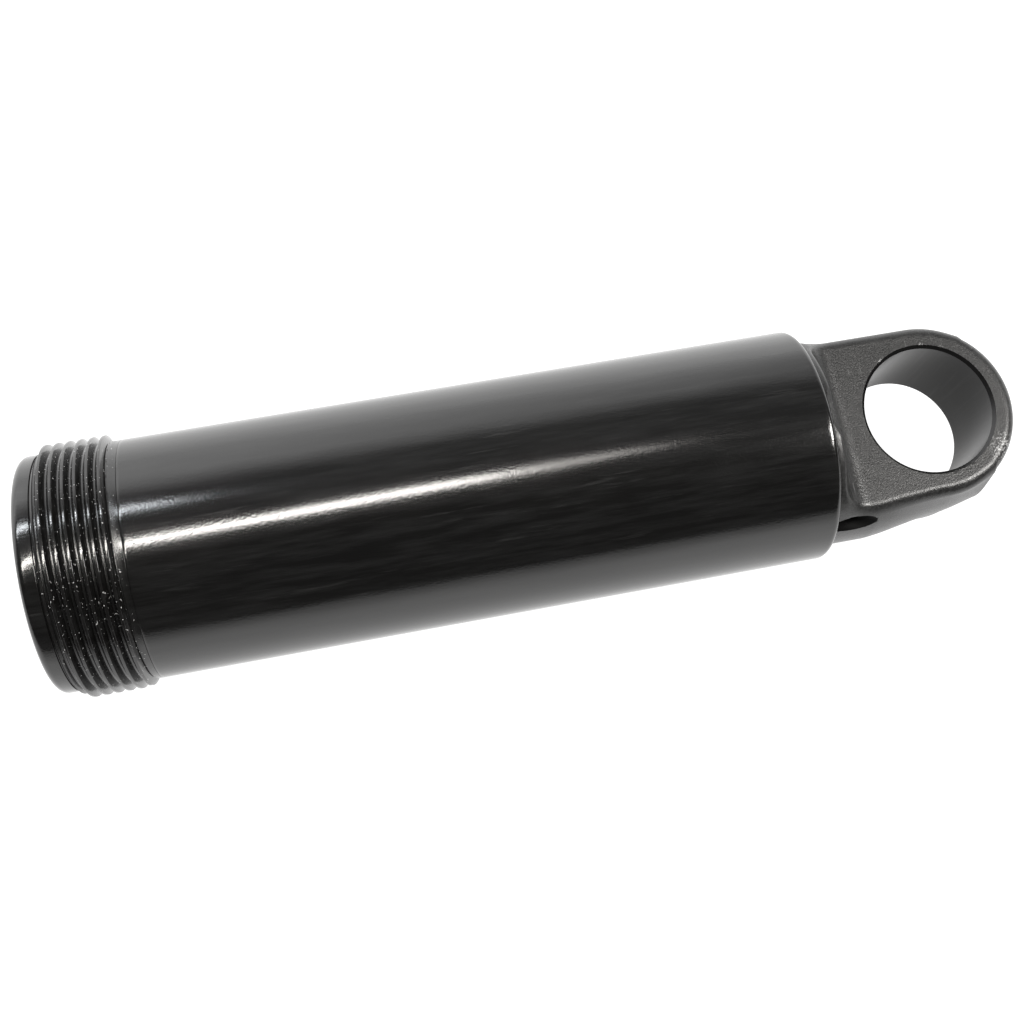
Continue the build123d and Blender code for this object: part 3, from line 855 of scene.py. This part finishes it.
def floor_material():
    """White card with painted light: it glows and clips to white, brighter at +Y and dimmer at -Y, with
    a painted shadow under the eye.
    """
    material, nodes, position = new_material("floor_white")
    cloud = nodes.noise(position, 6, detail=2)
    tint = nodes.mix(cloud, grey(0.11), grey(0.13))
    parts = nodes.add("ShaderNodeSeparateXYZ", {"Vector": position}).outputs
    # painted light: the card's glow is stronger towards +Y and weaker towards -Y
    glow = nodes.between(parts["Y"], 0.0, 0.06, 1.02, 1.50)
    glow = nodes.math("MULTIPLY", glow, nodes.between(parts["Y"], -0.22, -0.09, 0.5, 1.0))
    beneath = nodes.add("ShaderNodeVectorMath", {0: position}, operation="LENGTH").outputs["Value"]
    # painted shadow: within 5 to 10 mm of the origin, under the eye, the glow drops to 0.35, though not
    # to the camera
    shade = nodes.between(beneath, 0.005, 0.010, 0.35, 1.0)
    plain = nodes.add("ShaderNodeLightPath").outputs["Is Camera Ray"]
    glow = nodes.math("MULTIPLY", glow, nodes.math("MAXIMUM", shade, plain))
    shader = nodes.add("ShaderNodeBsdfPrincipled", {"Base Color": tint, "Roughness": 0.9, "IOR": 1.2})
    shader.inputs["Emission Color"].default_value = grey(1.0)
    nodes.tree.links.new(glow, shader.inputs["Emission Strength"])
    clear = nodes.add("ShaderNodeBsdfTransparent")
    behind = nodes.add("ShaderNodeNewGeometry").outputs["Backfacing"]
    mixed = nodes.add("ShaderNodeMixShader", {0: behind})
    nodes.tree.links.new(shader.outputs["BSDF"], mixed.inputs[1])
    nodes.tree.links.new(clear.outputs["BSDF"], mixed.inputs[2])
    nodes.add("ShaderNodeOutputMaterial", {"Surface": mixed.outputs["Shader"]})
    return material


def make_floor():
    mesh = bpy.data.meshes.new("floor")
    corners = [(x * FLOOR_HALF, y * FLOOR_HALF, 0) for x, y in ((-1, -1), (1, -1), (1, 1), (-1, 1))]
    mesh.from_pydata(corners, [], [(0, 1, 2, 3)])
    mesh.materials.append(floor_material())
    floor = bpy.data.objects.new("floor", mesh)
    floor.location = (0, 0, FLOOR_Z - FLOOR_GAP)
    bpy.context.scene.collection.objects.link(floor)


def strip_light(name, place, turn, length, width, radiance, colour):
    """Soft strip of a given radiance that faces the X axis, turned from X about its own facing."""
    data = bpy.data.lights.new(name, "AREA")
    data.shape = "RECTANGLE"
    data.size = length
    data.size_y = width
    data.energy = radiance * math.pi * length * width
    data.color = colour
    light = bpy.data.objects.new(name, data)
    light.location = place
    back = Vector((0, place[1], place[2])).normalized()
    right = Matrix.Rotation(math.radians(turn), 3, back) @ Vector((1, 0, 0))
    up = back.cross(right).normalized()
    light.rotation_mode = "QUATERNION"
    light.rotation_quaternion = Matrix((right, up, back)).transposed().to_quaternion()
    bpy.context.scene.collection.objects.link(light)


def make_lights():
    """A strip overhead, the dim end of its holder, a lamp beyond the eye and a cooler strip aside."""
    for strip in STRIP_LIGHTS:
        strip_light(*strip)


def make_world():
    """White backdrop round the horizon, high at +Y, under a dark ceiling; plain white to the camera."""
    world = bpy.data.worlds.new("studio")
    bpy.context.scene.world = world
    world.use_nodes = True
    nodes = Nodes(world.node_tree)
    direction = nodes.add("ShaderNodeTexCoord").outputs["Generated"]
    parts = nodes.add("ShaderNodeSeparateXYZ", {"Vector": direction}).outputs
    rise = nodes.math("MULTIPLY", nodes.math("MAXIMUM", parts["Y"], 0.0), BACKDROP_RISE)
    above = nodes.math("SUBTRACT", nodes.math("SUBTRACT", parts["Z"], BACKDROP_EDGE), rise)
    tall = nodes.between(above, -0.20, 0.25, 1, 0)
    tall = nodes.math("MULTIPLY", tall, nodes.between(parts["Y"], 0.0, 0.25, 0, 1))
    along = nodes.between(parts["X"], -0.25, 0.45, 2.1, 0.85)
    share = nodes.between(parts["Z"], 0.0, 0.25, 0, 1)
    extra = nodes.math("MULTIPLY", nodes.math("SUBTRACT", along, BACKDROP_LEVEL), share)
    tall = nodes.math("MULTIPLY", tall, nodes.math("ADD", extra, BACKDROP_LEVEL))
    low = nodes.between(parts["Z"], -0.03, 0.02, 0.75, 0)
    glow = nodes.between(parts["Y"], -0.2, 0.5, 0.06, 0.22)
    level = nodes.math("MAXIMUM", nodes.math("MAXIMUM", tall, low), glow)
    plain = nodes.add("ShaderNodeLightPath").outputs["Is Camera Ray"]
    level = nodes.math("MAXIMUM", level, plain)
    background = nodes.add("ShaderNodeBackground", {"Color": grey(1.0), "Strength": level})
    nodes.add("ShaderNodeOutputWorld", {"Surface": background.outputs["Background"]})


def make_camera():
    data = bpy.data.cameras.new("camera")
    data.lens = CAMERA_LENS
    data.sensor_width = CAMERA_SENSOR
    data.clip_start = 0.01
    data.clip_end = 20
    camera = bpy.data.objects.new("camera", data)
    right = Vector(CAMERA_RIGHT).normalized()
    forward = Vector(CAMERA_FORWARD).normalized()
    up = right.cross(forward).normalized()
    right = forward.cross(up).normalized()
    turn = Matrix((right, up, -forward)).transposed().to_4x4()
    camera.matrix_world = Matrix.Translation(CAMERA_PLACE) @ turn
    bpy.context.scene.collection.objects.link(camera)
    bpy.context.scene.camera = camera


make_floor()
make_lights()
make_world()
make_camera()
bpy.context.scene.view_settings.view_transform = "Standard"
